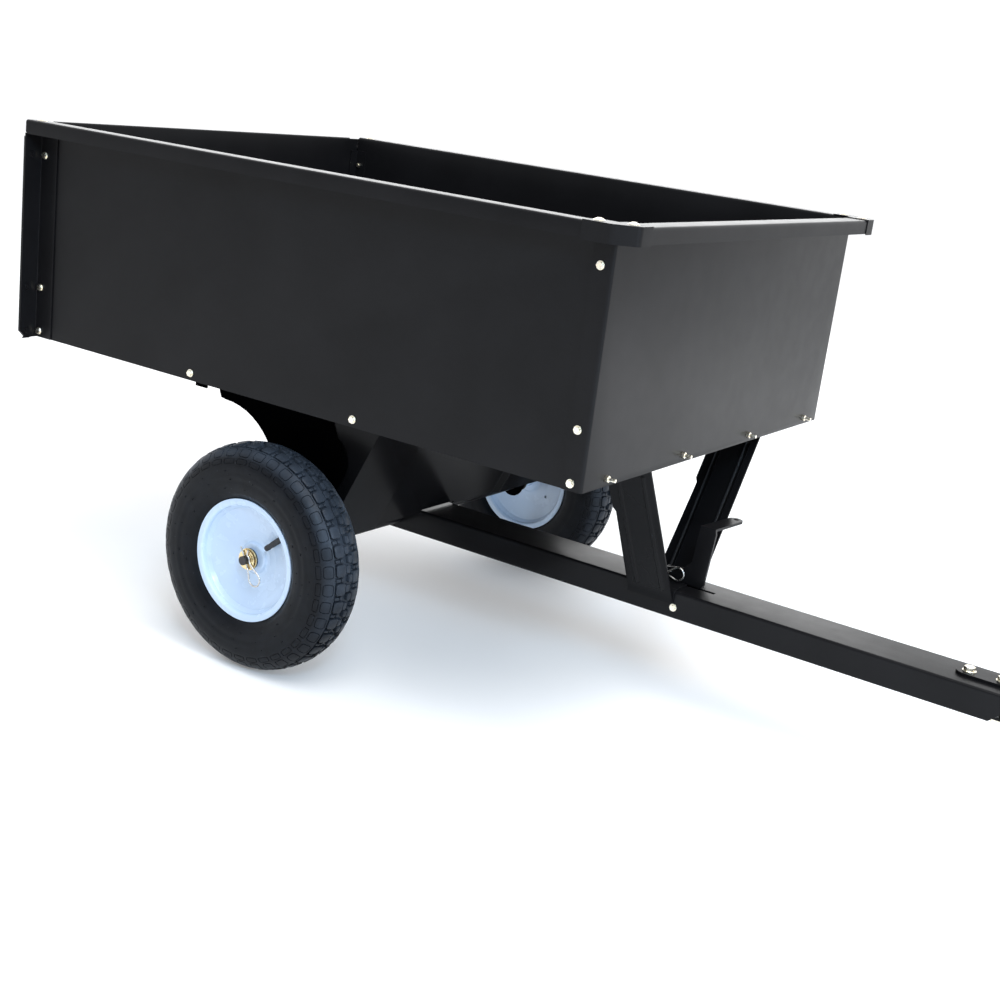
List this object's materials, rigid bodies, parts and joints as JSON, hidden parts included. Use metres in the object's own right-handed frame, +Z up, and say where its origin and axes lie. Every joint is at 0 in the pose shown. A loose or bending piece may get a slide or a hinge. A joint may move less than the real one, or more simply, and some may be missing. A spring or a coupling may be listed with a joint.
{
  "type": "tow behind cart",
  "caption": "Tow behind dump cart: a steel tray with a lift-out tailgate tips on the axle of two pneumatic wheels; a tubular tongue has a foot latch and a strap hitch.",
  "frame": {"origin": "on the ground under the middle of the cart's overall length and width", "axes": "+X forward along the tongue to the hitch, +Y to the cart's left, +Z up"},
  "size_m": [1.9212, 1.002, 0.8856],
  "materials": {
    "black_paint": "satin black powder coat with a fine texture",
    "zinc_plate": "yellow zinc plate",
    "bright_steel": "bright drawn steel",
    "tyre": "moulded block tread with a smooth sidewall",
    "black_rubber": "matt",
    "white_paint": "gloss white"
  },
  "bodies": {
    "chassis": {"tongue": "black_paint", "axle": "bright_steel", "axle_spacer_right": "black_paint", "axle_spacer_left": "black_paint", "wheel_washers_right": "zinc_plate", "wheel_washers_left": "zinc_plate", "wheel_clip_right": "bright_steel", "wheel_clip_left": "bright_steel", "catch_bolt": "zinc_plate", "hitch_strap_top": "black_paint", "hitch_strap_bottom": "black_paint", "hitch_bolts": "zinc_plate"},
    "wheel_right": {"tyre_right": "tyre", "rim_right": "white_paint", "hub_right": "white_paint", "hub_bushes_right": "black_rubber", "valve_right": "black_rubber"},
    "wheel_left": {"tyre_left": "tyre", "rim_left": "white_paint", "hub_left": "white_paint", "hub_bushes_left": "black_rubber", "valve_left": "black_rubber"},
    "tray": {"floor_pan": "black_paint", "floor_edge_right": "black_paint", "floor_edge_left": "black_paint", "floor_edge_front": "black_paint", "side_panel_right": "black_paint", "side_panel_left": "black_paint", "front_panel": "black_paint", "corner_cap_right": "black_paint", "corner_cap_left": "black_paint", "rear_angle_right": "black_paint", "rear_angle_left": "black_paint", "tailgate_track_right": "black_paint", "tailgate_track_left": "black_paint", "tailgate_guide_right": "black_paint", "tailgate_guide_left": "black_paint", "side_bolts_right": "zinc_plate", "side_bolts_left": "zinc_plate", "front_bolts": "zinc_plate", "rail_bolts": "zinc_plate", "guide_bolts": "zinc_plate", "axle_bracket_right": "black_paint", "axle_bracket_left": "black_paint", "cross_member": "black_paint", "bracket_bolts": "zinc_plate", "latch_strut_right": "black_paint", "latch_strut_left": "black_paint", "strut_bolts": "zinc_plate", "saddle": "black_paint", "latch_pin": "zinc_plate", "latch_clip": "bright_steel", "latch_spring": "bright_steel"},
    "latch": {"latch_pedal": "black_paint"},
    "tailgate": {"tailgate": "black_paint"}
  },
  "joints": [
    {"name": "wheel_right_spin", "type": "hinge", "parent": "chassis", "child": "wheel_right", "pos_m": [-0.3574, -0.448, 0.203], "axis": [0, 1, 0], "continuous": true},
    {"name": "wheel_left_spin", "type": "hinge", "parent": "chassis", "child": "wheel_left", "pos_m": [-0.3574, 0.448, 0.203], "axis": [0, 1, 0], "continuous": true},
    {"name": "tray_tip", "type": "hinge", "parent": "chassis", "child": "tray", "pos_m": [-0.3574, 0, 0.203], "axis": [0, -1, 0], "range_deg": [0, 38]},
    {"name": "latch_press", "type": "hinge", "parent": "tray", "child": "latch", "pos_m": [0.2106, 0, 0.242], "axis": [0, 1, 0], "range_deg": [0, 10], "stiffness_Nm_per_rad": 3, "springref_deg": -17.19},
    {"name": "tailgate_lift", "type": "slide", "parent": "tray", "child": "tailgate", "axis": [0, 0, 1], "range_m": [0, 0.36]}
  ]
}
